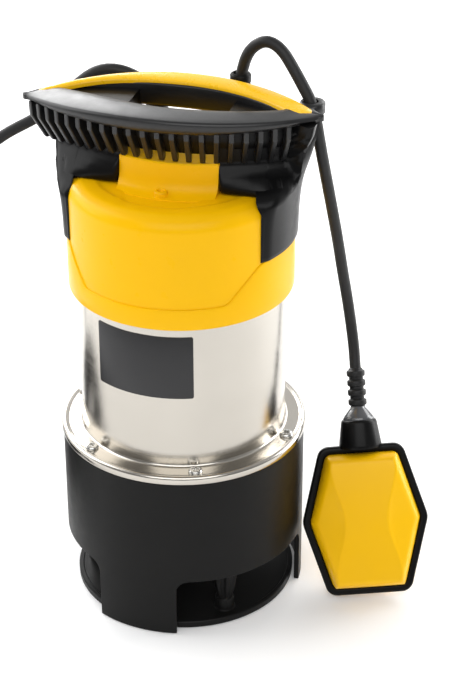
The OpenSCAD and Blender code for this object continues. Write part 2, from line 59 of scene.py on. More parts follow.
FLOAT_AT = (124.0, -40.0, 4.0)   # middle of its lower edge; like the coil, in the turned frame
FLOAT_LEAN, FLOAT_ROLL = radians(25), radians(4)
CORD_R = 3.7
COIL_AT = (-236.0, 100.0)
PIVOT = (83.3, 8.0, 322.0)       # where the float's cord swings, in the turned frame
WELD = 1e-4                      # points closer than this become one


# ---------- small maths ----------
def lerp(a, b, t):
    return a + (b - a) * t


def smooth(t):
    t = min(max(t, 0.0), 1.0)
    return t * t * (3 - 2 * t)


def table(points, x):
    """Value at x of a straight-sided line through (x, value) points."""
    x = min(max(x, points[0][0]), points[-1][0])
    for (x0, y0), (x1, y1) in zip(points, points[1:]):
        if x <= x1:
            return lerp(y0, y1, (x - x0) / (x1 - x0))


def spline_table(points, x):
    """Value at x of a smooth curve through (x, value) points."""
    x = min(max(x, points[0][0]), points[-1][0])
    before, after = [points[0]] + points[:-1], points[1:] + [points[-1]]
    slopes = [(b[1] - a[1]) / (b[0] - a[0]) for a, b in zip(before, after)]
    for (x0, y0), (x1, y1), s0, s1 in zip(points, points[1:], slopes, slopes[1:]):
        if x <= x1:
            t = (x - x0) / (x1 - x0)
            bend = (t - 1) ** 2 * t * s0 + (t - 1) * t * t * s1
            return lerp(y0, y1, smooth(t)) + bend * (x1 - x0)


def spun(x, y, angle):
    """The point (x, y) turned about the origin."""
    c, s = cos(angle), sin(angle)
    return x * c - y * s, x * s + y * c


def turned(p):
    """From the float's turned frame to the pump's."""
    return (*spun(p[0], p[1], SIDE), p[2])


def unturned(p):
    """From the pump's frame to the float's turned frame."""
    return (*spun(p[0], p[1], -SIDE), p[2])


def around(r, degrees, z):
    """A point at a distance from the axis, degrees to the right of the front."""
    a = radians(degrees)
    return (r * sin(a), -r * cos(a), z)


def in_float(p):
    """A point of the float in the turned frame: rolled sideways, then leaned back."""
    x, z = spun(p[0], p[2], FLOAT_ROLL)
    y, z = spun(p[1], z, -FLOAT_LEAN)
    return (FLOAT_AT[0] + x, FLOAT_AT[1] + y, FLOAT_AT[2] + z)


def float_to_row(p):
    """A point of the float in the pump's frame."""
    return turned(in_float(p))


def catmull(points, per):
    """A smooth curve through the points, per steps to each stretch."""
    out, points = [], [Vector(p) for p in points]
    padded = points[:1] + points + points[-1:]
    for p0, p1, p2, p3 in zip(padded, padded[1:], padded[2:], padded[3:]):
        for j in range(per):
            t = j / per
            out.append(0.5 * (2 * p1 + (p2 - p0) * t + (2 * p0 - 5 * p1 + 4 * p2 - p3) * t * t
                              + (3 * p1 - p0 - 3 * p2 + p3) * t * t * t))
    return out + points[-1:]


def even(points, step):
    """The same line with its points a step apart."""
    lengths = [0.0]
    for a, b in zip(points, points[1:]):
        lengths.append(lengths[-1] + (b - a).length)
    count = max(2, int(round(lengths[-1] / step)))
    out, k = [], 0
    for i in range(count + 1):
        s = lengths[-1] * i / count
        while k < len(lengths) - 2 and lengths[k + 1] < s:
            k += 1
        span = lengths[k + 1] - lengths[k] or 1.0
        out.append(points[k].lerp(points[k + 1], (s - lengths[k]) / span))
    return out


def relaxed(points, rounds):
    """The line with its small kinks smoothed out and its ends kept."""
    for _ in range(rounds):
        points = ([points[0]] + [(a + 2 * b + c) / 4 for a, b, c in
                                 zip(points, points[1:], points[2:])] + [points[-1]])
    return points


def line_length(points):
    return sum((b - a).length for a, b in zip(points, points[1:]))


# ---------- meshes ----------
def rounded(points, radii, seg=4, closed=True):
    """A line in the plane with its corners rounded."""
    if not hasattr(radii, "__len__"):
        radii = [radii] * len(points)
    out, n = [], len(points)
    for i, (p, r) in enumerate(zip(points, radii)):
        if r <= 0 or (not closed and i in (0, n - 1)):
            out.append((p[0], p[1]))
            continue
        p = Vector(p)
        a = Vector(points[(i - 1) % n]) - p
        b = Vector(points[(i + 1) % n]) - p
        half = a.angle(b) / 2
        if half > radians(88):
            out.append((p[0], p[1]))
            continue
        cut = min(r / tan(half), 0.49 * a.length, 0.49 * b.length)
        r = cut * tan(half)
        a.normalize()
        b.normalize()
        centre = p + (a + b).normalized() * (r / sin(half))
        s, e = p + a * cut - centre, p + b * cut - centre
        turn = s.angle_signed(e)
        for k in range(seg + 1):
            w = -turn * k / seg
            out.append((centre[0] + s[0] * cos(w) - s[1] * sin(w),
                        centre[1] + s[0] * sin(w) + s[1] * cos(w)))
    return out


def rounded_box(x0, x1, y0, y1, radius, seg=4):
    return rounded([(x0, y0), (x1, y0), (x1, y1), (x0, y1)], radius, seg)


def add_object(name, data):
    o = bpy.data.objects.new(name, data)
    SCENE.collection.objects.link(o)
    return o


class Build:
    """Vertices and faces of one piece, in millimetres."""

    def __init__(self):
        self.v, self.f = [], []

    def add(self, verts, faces):
        base = len(self.v)
        self.v += [tuple(p) for p in verts]
        self.f += [tuple(i + base for i in face) for face in faces]
        return self

    def grid(self, rows, wrap_rows=False, wrap_cols=False):
        """Faces between rows of points, closed round either way if asked."""
        n, m = len(rows), len(rows[0])
        faces = [(i * m + j, i * m + (j + 1) % m, ((i + 1) % n) * m + (j + 1) % m,
                  ((i + 1) % n) * m + j)
                 for i in range(n if wrap_rows else n - 1)
                 for j in range(m if wrap_cols else m - 1)]
        return self.add([p for row in rows for p in row], faces)

    def lathe(self, profile, n, at=tuple):
        """Turns a closed (radius, height) outline about an upright axis, in n steps."""
        rows = [[at(around(r, 360 * i / n, z)) for r, z in profile] for i in range(n)]
        return self.grid(rows, wrap_rows=True, wrap_cols=True)

    def loft(self, rings):
        """Joins rings of the same number of points and closes both ends."""
        start, m = len(self.v), len(rings[0])
        self.grid(rings, wrap_cols=True)
        self.f += [tuple(start + j for j in range(m))[::-1],
                   tuple(start + (len(rings) - 1) * m + j for j in range(m))]
        return self

    def tube(self, path, radius, n):
        """A round tube along a line."""
        rings, normal, last = [], None, len(path) - 1
        for i, p in enumerate(path):
            t = (path[min(i + 1, last)] - path[max(i - 1, 0)]).normalized()
            if normal is None:
                normal = t.orthogonal().normalized()
            normal = (normal - t * normal.dot(t)).normalized()
            other = t.cross(normal)
            rings.append([p + (normal * cos(a) + other * sin(a)) * radius
                          for a in (2 * pi * k / n for k in range(n))])
        return self.loft(rings)

    def put(self, name, material, body="pump", replaces="", sharp=38, bevel=0.0, segments=3,
            bevel_angle=40, ride=True):
        """Makes the piece: one welded, smooth-shaded mesh, in metres."""
        mesh = bpy.data.meshes.new(name)
        bm = bmesh.new()
        verts = [bm.verts.new((x * MM, y * MM, z * MM)) for x, y, z in self.v]
        for face in self.f:
            if len(set(face)) > 2:
                try:
                    bm.faces.new([verts[i] for i in face])
                except ValueError:
                    pass
        bmesh.ops.remove_doubles(bm, verts=bm.verts, dist=WELD * MM)
        bmesh.ops.dissolve_degenerate(bm, edges=bm.edges, dist=WELD * MM)
        bmesh.ops.recalc_face_normals(bm, faces=bm.faces)
        for face in bm.faces:
            face.smooth = True
        bm.to_mesh(mesh)
        bm.free()
        piece = add_object(name, mesh)
        mesh.materials.append(material)
        if bevel:
            mod = piece.modifiers.new("edges", "BEVEL")
            mod.width = bevel * MM
            mod.segments = segments
            mod.limit_method = "ANGLE"
            mod.angle_limit = radians(bevel_angle)
            mod.harden_normals = True
            mod.miter_outer = "MITER_ARC"
            mesh.set_sharp_from_angle(angle=radians(180))
        else:
            mesh.set_sharp_from_angle(angle=radians(sharp))
        if ride:
            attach(piece, body)
        if replaces:
            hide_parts(*replaces.split())
        return piece


def moved(x, y, z=0, turn=0.0):
    """A function that turns local points and then moves them."""
    def place(p):
        px, py = spun(p[0], p[1], radians(turn))
        return (x + px, y + py, z + p[2])
    return place


# ---------- materials ----------
class Nodes:
    """A material's nodes: its main shader and what feeds it."""

    def __init__(self, name):
        self.material = bpy.data.materials.new(name)
        self.material.use_nodes = True
        self.tree = self.material.node_tree
        self.shader = self.tree.nodes["Principled BSDF"].inputs
        self.coords = self.tree.nodes.new("ShaderNodeTexCoord")

    def node(self, kind, **values):
        """Adds a node; an underscore in an input's name stands for a space."""
        n = self.tree.nodes.new(kind)
        for name, value in values.items():
            n.inputs[name.replace("_", " ")].default_value = value
        return n

    def link(self, a, b):
        self.tree.links.new(a, b)

    def noise(self, scale, detail, rough=0.5, stretch=(1, 1, 1)):
        mapping = self.node("ShaderNodeMapping", Scale=stretch)
        self.link(self.coords.outputs["Object"], mapping.inputs["Vector"])
        n = self.node("ShaderNodeTexNoise", Scale=scale, Detail=detail, Roughness=rough)
        self.link(mapping.outputs["Vector"], n.inputs["Vector"])
        return n.outputs["Fac"]

    def ramp(self, fac, stops):
        n = self.node("ShaderNodeValToRGB")
        for e, (at, colour) in zip(n.color_ramp.elements, stops):
            e.position, e.color = at, (*colour, 1)
        self.link(fac, n.inputs["Fac"])
        return n.outputs["Color"]

    def span(self, fac, low, high):
        """Turns the noise's usual 0.3 to 0.7 into low to high."""
        n = self.node("ShaderNodeMapRange", From_Min=0.3, From_Max=0.7, To_Min=low, To_Max=high)
        self.link(fac, n.inputs["Value"])
        return n.outputs["Result"]

    def bump(self, fac, depth, under=None):
        n = self.node("ShaderNodeBump", Strength=1.0, Distance=depth)
        self.link(fac, n.inputs["Height"])
        if under is not None:
            self.link(under, n.inputs["Normal"])
        return n.outputs["Normal"]


SLOT_FINISH, SLOT_OF = {}, {}


def finish_of(slot, name, colour, spread, rough, grain, grain_depth, *, wave=None, metallic=0.0,
              specular=0.5, coat=0.0, coat_rough=0.1, stretch=(1, 1, 1), tint_scale=14.0,
              aniso=0.0):
    """A finish with soft colour variation, uneven gloss and a fine surface grain.

    Spread is the colour's variation, rough the range of roughness, grain and grain_depth the
    fine noise's scale and its depth in metres; wave adds a wider (scale, depth) unevenness.
    The CAD's own nodes wear the first finish of their slot.
    """
    n = Nodes(name)
    low = tuple(max(c * (1 - spread), 0) for c in colour)
    high = tuple(min(c * (1 + spread), 1) for c in colour)
    tint = n.noise(tint_scale, 4.0, 0.55)
    n.link(n.ramp(tint, [(0.32, low), (0.68, high)]), n.shader["Base Color"])
    gloss = n.noise(grain * 0.045, 4.0, 0.6, stretch)
    n.link(n.span(gloss, *rough), n.shader["Roughness"])
    normal = n.bump(n.noise(grain, 2.0, stretch=stretch), grain_depth)
    if wave:
        normal = n.bump(n.noise(wave[0], 2.0), wave[1], normal)
    n.link(normal, n.shader["Normal"])
    for socket, value in (("Metallic", metallic), ("Specular IOR Level", specular),
                          ("Coat Weight", coat), ("Coat Roughness", coat_rough),
                          ("Anisotropic", aniso)):
        n.shader[socket].default_value = value
    SLOT_FINISH.setdefault(slot, n.material)
    SLOT_OF[n.material.name] = slot
    return n.material


BLACK = finish_of("black_plastic", "satin_black", (0.0062, 0.0062, 0.006), 0.12, (0.36, 0.44),
                  2600, 1.6e-5, wave=(40, 2e-5), specular=0.13)
# painted shade: a darker copy of the black plastic, for the handle's legs, webs and the wall
# between the ribs; the float's band and sleeve wear it too
SHADED_BLACK = finish_of("black_plastic", "shaded_black", (0.0038, 0.0038, 0.004), 0.15, (0.28, 0.36),
                   2200, 1.8e-5, wave=(60, 2e-5), specular=0.15)
# painted highlight: a lighter copy of the same black plastic, for the upward-facing ring and the
# ribs
LIT_BLACK = finish_of("black_plastic", "lit_black", (0.0085, 0.0085, 0.009), 0.15, (0.30, 0.40), 2200,
                2e-5, wave=(60, 3e-5), specular=0.5)
YELLOW = finish_of("yellow_plastic", "gloss_yellow", (0.90, 0.49, 0.0012), 0.012, (0.27, 0.33),
                   1800, 0.8e-5, wave=(24, 4e-5), specular=0.13)
FLOAT_YELLOW = finish_of("yellow_plastic", "float_yellow", (0.95, 0.53, 0.002), 0.015,
                         (0.30, 0.38), 1500, 1.2e-5, wave=(30, 5e-5), specular=0.26)
INLAY_YELLOW = finish_of("yellow_plastic", "inlay_yellow", (0.93, 0.52, 0.003), 0.012,
                         (0.24, 0.32), 1800, 0.8e-5, wave=(24, 3e-5), specular=0.45)
RUBBER = finish_of("cord_rubber", "cord_rubber", (0.016, 0.016, 0.0165), 0.25, (0.44, 0.60), 3000,
                   4.0e-5, wave=(160, 9e-5), specular=0.3)
SOFT_RUBBER = finish_of("seal_rubber", "soft_rubber", (0.012, 0.012, 0.0125), 0.2, (0.40, 0.52),
                        2600, 3.0e-5, wave=(140, 6e-5), specular=0.3)
STEEL = finish_of("shell_steel", "brushed_steel", (0.53, 0.50, 0.45), 0.05, (0.15, 0.23), 700,
                  1.6e-5, wave=(9, 8e-5), metallic=1.0, stretch=(0.12, 0.12, 9.0), aniso=0.25,
                  tint_scale=9.0)
SCREW = finish_of("screw_steel", "screw_steel", (0.56, 0.55, 0.525), 0.1, (0.16, 0.30), 2400, 8e-6,
                  metallic=1.0, tint_scale=260.0)
finish_of("cast_alloy", "cast_alloy", (0.55, 0.56, 0.58), 0.08, (0.38, 0.55), 900, 6e-5,
          metallic=1.0, tint_scale=80.0)
finish_of("core_steel", "core_steel", (0.36, 0.37, 0.39), 0.15, (0.35, 0.5), 1400, 4e-5,
          metallic=1.0, stretch=(0.2, 0.2, 6.0), tint_scale=120.0)
finish_of("bearing_steel", "bearing_steel", (0.62, 0.62, 0.64), 0.06, (0.14, 0.26), 2000, 1e-5,
          metallic=1.0, stretch=(1, 1, 6.0), tint_scale=90.0)
finish_of("winding_copper", "winding_copper", (0.55, 0.22, 0.07), 0.25, (0.28, 0.42), 900, 1.2e-4,
          metallic=0.7, stretch=(1, 1, 5.0), tint_scale=240.0)
finish_of("seal_ceramic", "seal_ceramic", (0.10, 0.10, 0.11), 0.15, (0.22, 0.34), 1800, 1e-5,
          tint_scale=120.0)
finish_of("capacitor_case", "capacitor_can", (0.62, 0.63, 0.65), 0.06, (0.26, 0.38), 1500, 2e-5,
          metallic=1.0, stretch=(1, 1, 0.2), tint_scale=60.0)
TIE = finish_of("tie_plastic", "tie_plastic", (0.020, 0.020, 0.021), 0.2, (0.34, 0.46), 2400, 3e-5)
finish_of("housing_plastic", "housing_plastic", (0.60, 0.59, 0.54), 0.06, (0.40, 0.52), 1800, 3e-5)
CONE_GREY = finish_of("black_plastic", "grey_cone", (0.075, 0.078, 0.085), 0.12, (0.16, 0.26),
                      2200, 1.2e-5, specular=0.7, coat=0.4, coat_rough=0.08)
FILM = finish_of("nameplate_film", "nameplate_film", (0.014, 0.014, 0.0155), 0.12, (0.30, 0.38),
                 2200, 1.4e-5, specular=0.4)

for part in frame["record"]["subparts"]:
    node = frame["nodes"][part["node"]]
    finish = SLOT_FINISH[part["material_slot"]]
    for held in node.material_slots:
        held.material = finish
    if not node.material_slots:
        node.data.materials.append(finish)


# ---------- camera ----------
CAMERA_AT, CAMERA_TILT, CAMERA_LENS = (0.3098, -1.0301, 0.7749), radians(60.56), 98.38


def camera():
    """The photo's viewpoint; it looks along the float's side."""
    data = bpy.data.cameras.new("camera")
    data.lens, data.sensor_width = CAMERA_LENS, 36.0
    data.clip_start, data.clip_end = 0.05, 30
    o = add_object("camera", data)
    o.location = CAMERA_AT
    o.rotation_euler = (CAMERA_TILT, 0, SIDE)
    SCENE.camera = o


camera()


# ---------- cords ----------
GLAND_Y, POWER_GLAND_X, FLOAT_GLAND_X = 46, -29, 26


def float_cord():
    """From its gland through the hook behind the handle and down to the float."""
    g = unturned((FLOAT_GLAND_X, GLAND_Y, 0))
    upper = [(g[0], g[1], 325), (g[0], g[1], 339), (41, 35, 356), (47, 33.5, 363.5),
             (54, 30.5, 366.5), (62, 26, 362.5), (69, 20, 353), (75, 14.2, 343.5),
             (79, 10, 336.8), (81.4, 8, 329.5), PIVOT,
             (86.8, 11, 302), (92.6, 18.5, 271), (98.7, 26, 238), (103.7, 31.6, 208),
             (108.2, 34.4, 182), in_float((-0.2, 0, 168)), in_float((0, 0, 150)),
             in_float((0, 0, 130)), in_float((0, 0, 112))]
    path = relaxed(even(catmull([turned(p) for p in upper], 8), 2.2), 3)
    piece = Build().tube(path, CORD_R, 24).put(
        "float_cord", RUBBER, ride=False, replaces="float_cord_upper float_cord_lower")
    hinge = Vector(turned(PIVOT))
    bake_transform(piece)
    line_length(path) * MM


COIL_IN, COIL_OUT, COIL_LAYERS, COIL_STEP, COIL_LOW = 41.0, 84.0, 4, 7.45, 4.7
COIL_START = 18.0                # degrees: where the cord comes down onto the coil
COIL_TURNS = 23.53


def coil_turns(total):
    """The coil's line, from the top layer's outside down to the bottom layer's."""
    per_layer = total / COIL_LAYERS
    pitch = (COIL_OUT - COIL_IN) / per_layer
    steps = int(total * 36)
    out = []
    for i in range(steps + 1):
        t = total * i / steps
        layer = min(int(t / per_layer), COIL_LAYERS - 1)
        f = t - layer * per_layer
        r = COIL_OUT - pitch * f if layer % 2 == 0 else COIL_IN + pitch * f
        drop = 0.0
        for k in range(1, COIL_LAYERS):          # each change of layer takes a third of a turn
            drop += smooth((t - k * per_layer + 0.24) / 0.35)
        z = COIL_LOW + COIL_STEP * (COIL_LAYERS - 1 - drop)
        a = radians(COIL_START) + 2 * pi * t
        out.append(Vector((COIL_AT[0] + r * cos(a), COIL_AT[1] + r * sin(a), z)))
    return out


def power_cord(turns):
    """From its gland down to the floor, round the coil and on to the plug."""
    g = unturned((POWER_GLAND_X, GLAND_Y, 0))
    route = [(g[0], g[1], 308), (g[0], g[1], 315), (g[0], g[1], 322), (g[0] - 1.5, g[1] + 0.4, 327),
             (-28, 55, 334.5), (-42, 57, 339), (-54, 59.5, 336.5), (-65, 61, 328), (-77, 61.5, 316),
             (-92, 61, 304.5), (-118, 59, 290.5), (-141, 58.5, 266), (-157, 60, 226),
             (-165, 64, 170), (-167, 71, 116), (-165, 82, 78), (-160.5, 98, 52)]
    cx, cy = COIL_AT
    coil = coil_turns(turns)
    # the last turn ends on the coil's outside at the front left and runs on to the plug
    tail = [(cx - 62, cy - 72, 4.6), (cx - 50, cy - 88, 4.2), (cx - 32, cy - 100, 4.8),
            (cx - 14, cy - 107, 8), (cx - 2, cy - 110.8, 13.6), (cx + 8, cy - 112.5, 18),
            (cx + 17, cy - 113.9, 19.2)]
    head = catmull(route + [tuple(p) for p in coil[3:8]], 8)
    end = catmull([tuple(p) for p in coil[-6:]] + tail, 8)
    path = relaxed(even(head[:-16] + coil[6:-4] + end[16:], 4.0), 5)
    path = [Vector(turned(p)) for p in path]
    piece = Build().tube(path, CORD_R, 14).put(
        "mains_cord", RUBBER, replaces="power_cord power_coil cord_tail")
    return piece, path


float_cord()
MAINS, MAINS_PATH = power_cord(COIL_TURNS)
PLUG_AT = (COIL_AT[0] + 20, COIL_AT[1] - 114.4, 19.2)
PLUG_TURN = radians(-9)


def plug_place(p):
    """The plug lies on the floor beside the coil, its pins away from the cord."""
    x, y = spun(p[2], p[1], PLUG_TURN)
    return turned((PLUG_AT[0] + x, PLUG_AT[1] + y, PLUG_AT[2] - p[0]))


def plug():
    """A round moulded plug with a ringed sleeve and grip ridges."""
    body = Build()
    sleeve = [(3.9, -2), (5.4, -2)]
    for k in range(4):
        z = 0.6 + 2.6 * k
        sleeve += [(5.6 + 0.5 * k, z), (5.6 + 0.5 * k, z + 1.5), (4.9 + 0.5 * k, z + 1.6),
                   (4.9 + 0.5 * k, z + 2.5)]
    sleeve += [(8.4, 11.4), (10.4, 12.6), (16.6, 21), (18.2, 22.4), (18.6, 24), (18.6, 37.2),
               (18.0, 38.4), (16.8, 39), (0.01, 39), (0.01, 4), (3.9, 4)]
    body.lathe(sleeve, 72, at=plug_place)
    piece = body.put("mains_plug", BLACK, replaces="plug_body", sharp=32)
    grips = Build()
    for s in (-1, 1):
        for k in range(5):
            z = 24.5 + 2.6 * k
            outline = rounded_box(-0.6, 0.6, -6, 6, 0.55)
            grips.loft([[plug_place((s * (18.2 + h), b, z + a)) for a, b in outline]
                        for h in (-0.8, 0.36)])
    grips.put("plug_grips", BLACK, bevel=0.15, segments=2)
    return piece


PLUG = plug()
line_length(MAINS_PATH) * MM
[p * MM for p in MAINS_PATH]


def coil_tie():
    """A flat strap round the whole bundle, with its lock."""
    low, top = 0.8, COIL_LOW + COIL_STEP * (COIL_LAYERS - 1) + CORD_R + 0.2
    mid, half, thick = (COIL_IN + COIL_OUT) / 2, 24.8, 0.75
    inner = rounded_box(mid - half, mid + half, low, top, 5.0, 6)
    outer = rounded_box(mid - half - thick, mid + half + thick, low - thick, top + thick, 5.7, 6)

    def at(r, z, w):
        x, y = spun(r, w, radians(-28))
        return turned((COIL_AT[0] + x, COIL_AT[1] + y, z))
    b = Build()
    rows = [[at(r, z, w) for r, z in line]
            for line, w in ((inner, -4), (outer, -4), (outer, 4), (inner, 4))]
    b.grid(rows, wrap_rows=True, wrap_cols=True)
    lock = rounded_box(-6, 6, -5, 5, 1.2)
    b.loft([[at(mid + u, z, v) for u, v in lock] for z in (top - 0.1, top + 4.4)])
    b.put("coil_tie_strap", TIE, replaces="coil_tie", bevel=0.25, segments=2)


coil_tie()


# ---------- base ----------
def thick_sheet(build, outer, inner, faces):
    """A sheet with its back and its edges: outer and inner hold the same points."""
    n, used = len(outer), {}
    for face in faces:
        for a, b in zip(face, face[1:] + face[:1]):
            used.setdefault((min(a, b), max(a, b)), []).append((a, b))
    sides = [(b, a, a + n, b + n) for (a, b), in
             (v for v in used.values() if len(v) == 1)]
    build.add(outer + inner, faces + [tuple(i + n for i in f[::-1]) for f in faces] + sides)


LEG_TURN, LEG_HALF, WINDOW_TOP, WINDOW_ROUND = -8.5, 20.4, 41.0, 8.0
BASE_R, BASE_INNER, BASE_TOP = 79.0, 75.6, 115.8
LEG_COLUMNS, WINDOW_COLUMNS = 16, 26
OUTLET_Z = 66
POST_RING = 60


def base_wall():
    """The wall with its three windows cut out between the legs, and the outlet's stub."""
    arc = [radians(90 * k / 6) for k in range(1, 7)]
    low = WINDOW_TOP - WINDOW_ROUND
    heights = [(0.0, 0.0), (11.0, 0.0), (22.0, 0.0), (low, 0.0)]
    heights += [(low + WINDOW_ROUND * sin(a), WINDOW_ROUND * (1 - cos(a))) for a in arc]
    heights += [(z, WINDOW_ROUND) for z in (46, 52, 62, 76, 90, 104, BASE_TOP)]
    first_full = 3 + len(arc)
    places, outer, inner, faces = {}, [], [], []

    def vertex(degrees, z):
        key = (round(degrees % 360, 4), round(z, 4))
        if key not in places:
            places[key] = len(outer)
            outer.append(around(BASE_R, degrees, z))
            inner.append(around(BASE_INNER, degrees, z))
        return places[key]

    def patch(rows):
        for a, b in zip(rows, rows[1:]):
            for j in range(len(a) - 1):
                faces.append((a[j], a[j + 1], b[j + 1], b[j]))
    for k in range(3):
        mid = LEG_TURN + 120 * k
        leg, window = [], []
        for i, (z, cut) in enumerate(heights):
            half = LEG_HALF + degrees(cut / BASE_R)
            leg.append([vertex(mid + half * (2 * j / LEG_COLUMNS - 1), z)
                        for j in range(LEG_COLUMNS + 1)])
            if i >= first_full:
                window.append([vertex(mid + half + (120 - 2 * half) * j / WINDOW_COLUMNS, z)
                               for j in range(WINDOW_COLUMNS + 1)])
        patch(leg)
        patch(window)
    wall = Build()
    thick_sheet(wall, outer, inner, faces)
    stub = [(14.0, 76.2), (14.0, 93.4), (14.6, 94.0), (18.2, 94.0), (19.0, 93.2), (19.0, 78.5),
            (20.4, 77.4), (21.0, 76.2)]
    wall.lathe(stub, 64, at=lambda p: (p[0], p[2], OUTLET_Z + p[1]))
    wall.put("base_wall", BLACK, replaces="base_shell", bevel=0.7, bevel_angle=45)


def bottom():
    """The floor disc with its middle cone, and the fluted posts that carry it."""
    plate = [(0.01, 0), (72.3, 0), (73.0, 0.7), (73.0, 4.3), (72.5, 4.9), (70.2, 4.9),
             (69.6, 4.3), (17.5, 4.2), (15.4, 4.5), (6.2, 10.6), (4.8, 11.2), (0.01, 11.3)]
    Build().lathe(plate, 144).put("bottom_disc", BLACK, replaces="bottom_plate", sharp=30)
    posts = Build()
    for k in range(3):
        x, y, _ = around(POST_RING, LEG_TURN + 50 + 120 * k, 0)
        rings = []
        for z, r, fin in ((4.2, 7.2, 0), (4.9, 6.6, 0), (5.6, 6.4, 0), (12.2, 6.2, 0),
                          (12.9, 5.9, 0), (13.2, 5.2, 0), (13.3, 5.0, 0.15), (15, 5.1, 0.5),
                          (19, 5.6, 1.2), (26, 6.4, 1.4), (33, 7.2, 1.6), (38, 7.8, 1.8),
                          (41.5, 8.4, 2.0)):
            ring = [(a, r + fin * max(cos(6 * a), -0.2))
                    for a in (2 * pi * j / 72 for j in range(72))]
            rings.append([(x + d * cos(a), y + d * sin(a), z) for a, d in ring])
        posts.loft(rings)
    posts.put("fluted_posts", BLACK, replaces="suction_posts", sharp=50)


base_wall()
bottom()

# ---------- motor shell ----------
TUBE_R, FLANGE_R, FLANGE_TOP = 66.2, 80.0, 121.3
SCREW_TURN, SCREW_RING = 22, 72.4
HEAD_R, HEAD_H = 4.4, 2.5
CROSS_HALF, CROSS_REACH, CROSS_DEPTH = 0.72, 2.3, 1.3


def shell():
    """The tube, its round foot and the rolled flange, as one sheet."""
    def curve(cx, cz, r, first, last, n):
        turns = [radians(lerp(first, last, k / n)) for k in range(n + 1)]
        return [(cx + r * cos(a), cz + r * sin(a)) for a in turns]
    profile = [(65.0, 119.6), (65.0, 231.8), (65.3, 232.0), (66.0, 232.0), (TUBE_R, 231.8)]
    profile += [(TUBE_R, z) for z in (215, 190, 160, 140, 130)]
    profile += curve(68.4, 123.5, 2.2, 180, 270, 7)
    profile += [(70.5, 121.28), (75.0, 121.22), (76.1, FLANGE_TOP)]
    profile += curve(77.7, 119.5, 2.3, 110, 0, 9)
    profile += [(FLANGE_R, 117.0), (79.75, 116.5), (79.1, 116.4), (78.75, 116.7), (78.7, 118.6),
                (78.0, 119.7), (76.8, 119.9), (67.0, 119.9), (65.6, 119.6)]
    Build().lathe(profile, 192).put("steel_shell", STEEL, replaces="motor_shell", sharp=50)


def pan_screw(build, place):
    """A pan head with a cross recess."""
    rows = []
    radii = [0.01, 0.35, 0.65, 0.9, 1.2, 1.5, 1.8, 2.1, 2.4, 2.8, 3.3, 3.8, 4.15, 4.36, HEAD_R]
    for k in range(64):
        a = 2 * pi * k / 64
        row = []
        for r in radii:
            x, y = r * cos(a), r * sin(a)
            dome = 0.62 * (r / HEAD_R) ** 2 + 0.95 * max(0, (r / HEAD_R - 0.82) / 0.18) ** 2
            inside = max(min(CROSS_HALF - abs(x), CROSS_REACH - abs(y)),
                         min(CROSS_HALF - abs(y), CROSS_REACH - abs(x)))
            row.append(place((x, y, HEAD_H - dome - CROSS_DEPTH * smooth(inside / 0.35 + 0.4))))
        for r, z in ((HEAD_R, 0.1), (0.9 * HEAD_R, -0.05)):
            row.append(place((r * cos(a), r * sin(a), z)))
        rows.append(row)
    build.grid(rows, wrap_rows=True)


def screws():
    """Six flange screws, each cross turned its own way."""
    heads = Build()
    for k in range(6):
        turn = SCREW_TURN + 60 * k
        x, y, _ = around(SCREW_RING, turn, 0)
        pan_screw(heads, moved(x, y, FLANGE_TOP, turn * 3.7 + 18))
    heads.put("flange_screw_heads", SCREW, replaces="flange_screws", sharp=34)


def label():
    """A blank rating plate that follows the tube."""
    half, z0, z1, corner = radians(28.2) * TUBE_R, 171.0, 214.0, 1.4
    middle = -6                  # degrees from the front
    columns = [-half + corner * (1 - cos(radians(15 * k))) for k in range(7)]
    columns += [lerp(-half + corner, half - corner, k / 40) for k in range(1, 40)]
    columns += [half - corner * (1 - cos(radians(15 * k))) for k in range(6, -1, -1)]
    rings = []
    for s in columns:
        e = max(0.0, abs(s) - (half - corner))
        cut = corner - sqrt(max(corner ** 2 - e ** 2, 0))
        a = middle + degrees(s / TUBE_R)
        rings.append([around(r, a, z) for r, z in
                      ((66.22, z0 + cut), (66.5, z0 + cut), (66.55, z0 + cut + 0.12),
                       (66.55, z1 - cut - 0.12), (66.5, z1 - cut), (66.22, z1 - cut))])
    Build().loft(rings).put("blank_rating_plate", FILM, replaces="nameplate", sharp=50)


shell()
screws()
label()

# ---------- cap ----------
CAP_R, SKIRT_R, CAP_TOP, NECK_HALF = 70.3, 71.3, 293.1, 31.0
BOSS = (-1.5, -35.6)             # the vent screw's place, with a shallow round dish about it
DISH_R, DISH_DEPTH = 24.5, 0.7


def skirt_top(x):
    """Height of the raised skirt's edge: low in front, sloped, high at the sides."""
    x = abs(x)
    points = [(0, 235.0), (45.0, 235.0), (61.5, 256.6), (80, 256.6)]
    return sum(table(points, x + d) for d in (-1.6, -0.8, 0, 0.8, 1.6)) / 5


